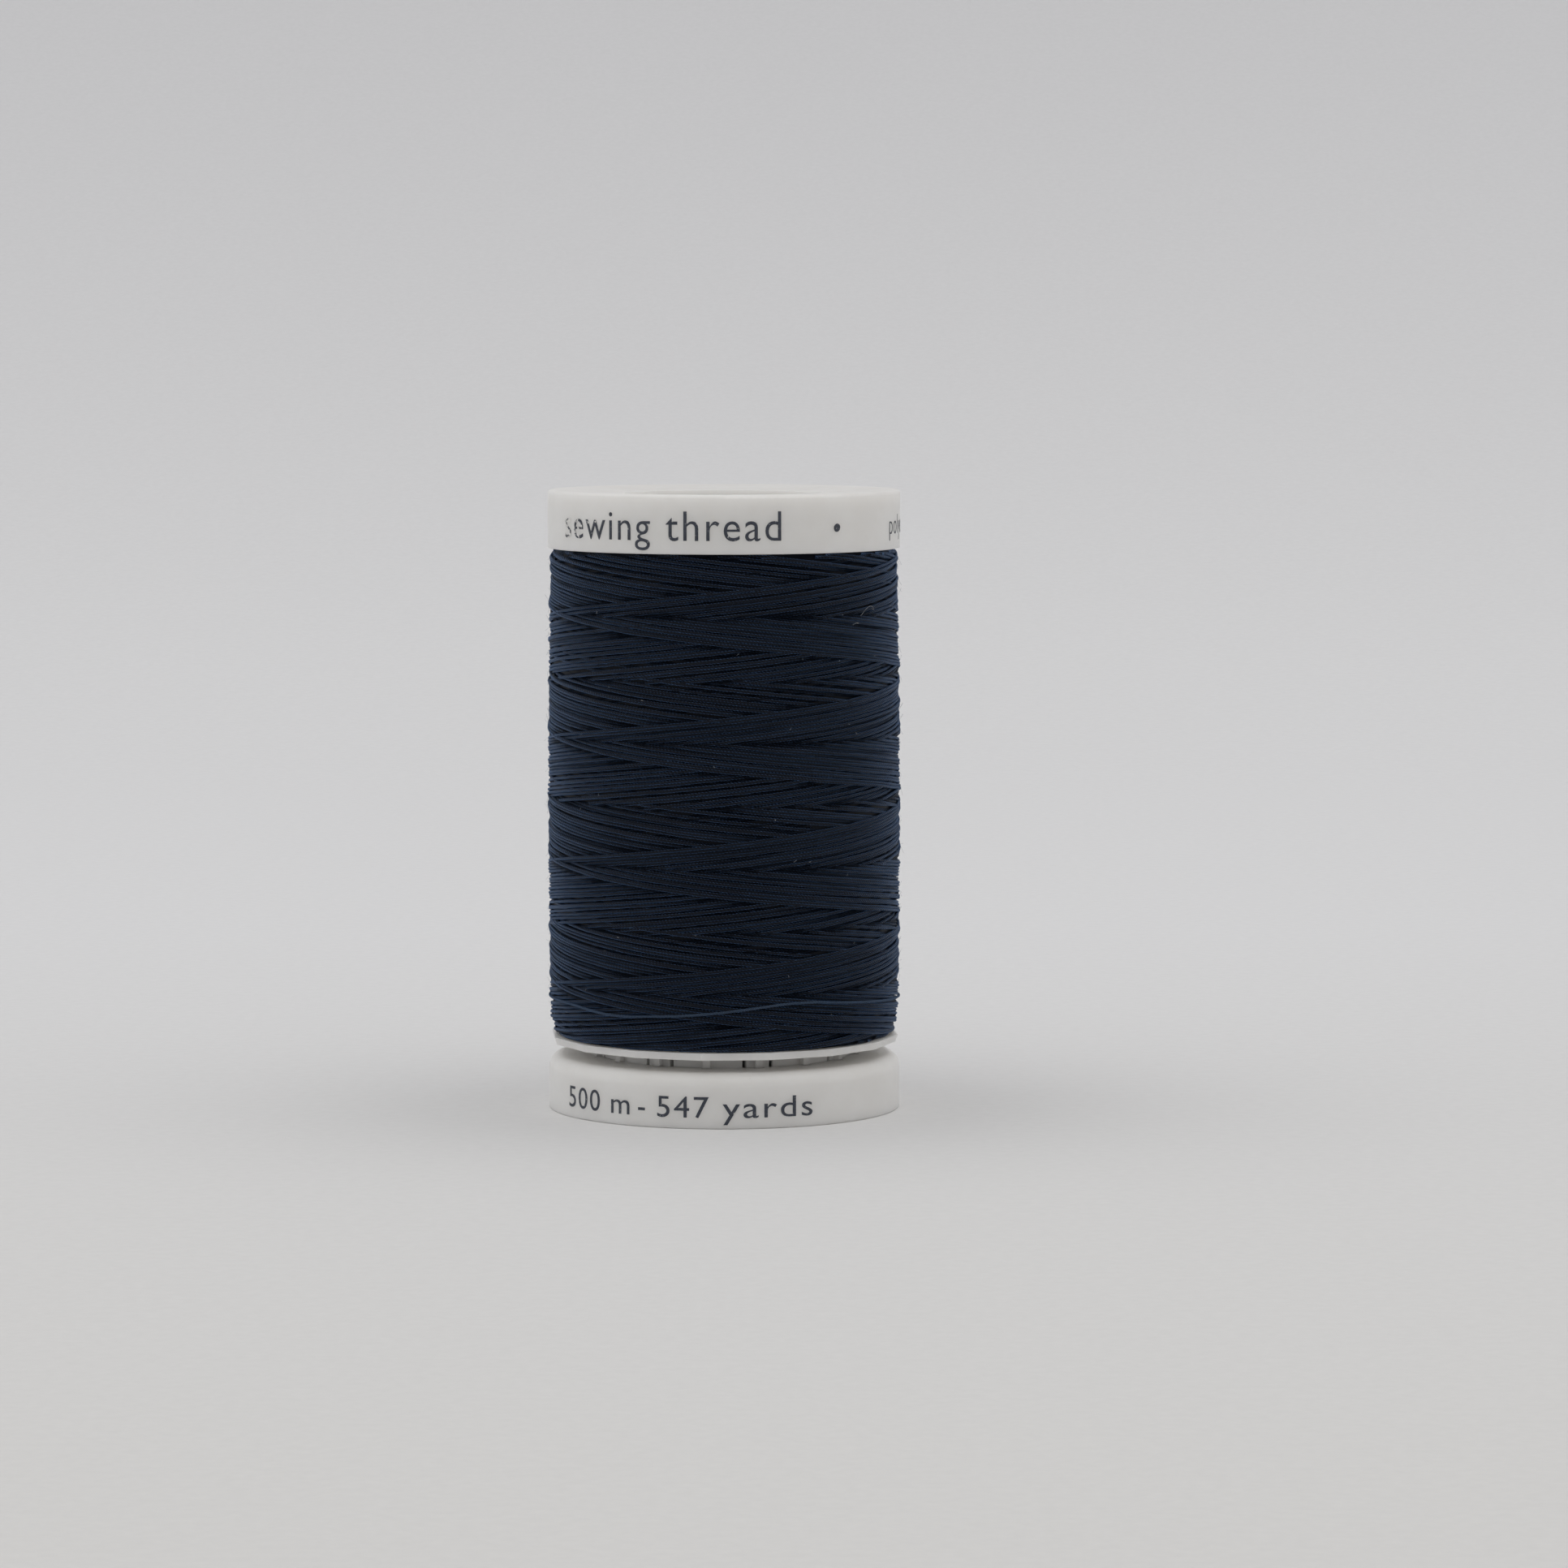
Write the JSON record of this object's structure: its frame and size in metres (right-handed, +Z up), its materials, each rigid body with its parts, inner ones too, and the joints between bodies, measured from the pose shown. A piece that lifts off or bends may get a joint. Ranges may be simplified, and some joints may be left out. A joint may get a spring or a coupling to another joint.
{
  "type": "spool of sewing thread",
  "caption": "Cross-wound sewing thread on a white moulded spool with a hollow spindle core, a dished top cap and a sliding snap base that locks the thread's free end.",
  "frame": {"origin": "centre of the base's foot, on the spindle axis, with the base open", "axes": "+Z up the spindle axis, towards the top cap; the printed front faces -Y"},
  "size_m": [0.0325, 0.0326, 0.0564],
  "materials": {
    "white_plastic": "satin",
    "thread": "matte",
    "print_ink": "matte"
  },
  "bodies": {
    "spool": {"winding_core": "white_plastic", "top_cap": "white_plastic", "thread_package": "thread", "thread_end": "thread"},
    "base": {"base_cap": "white_plastic"}
  },
  "joints": [
    {"name": "base_slide", "type": "slide", "parent": "spool", "child": "base", "axis": [0, 0, 1], "range_m": [0, 0.00113]}
  ]
}
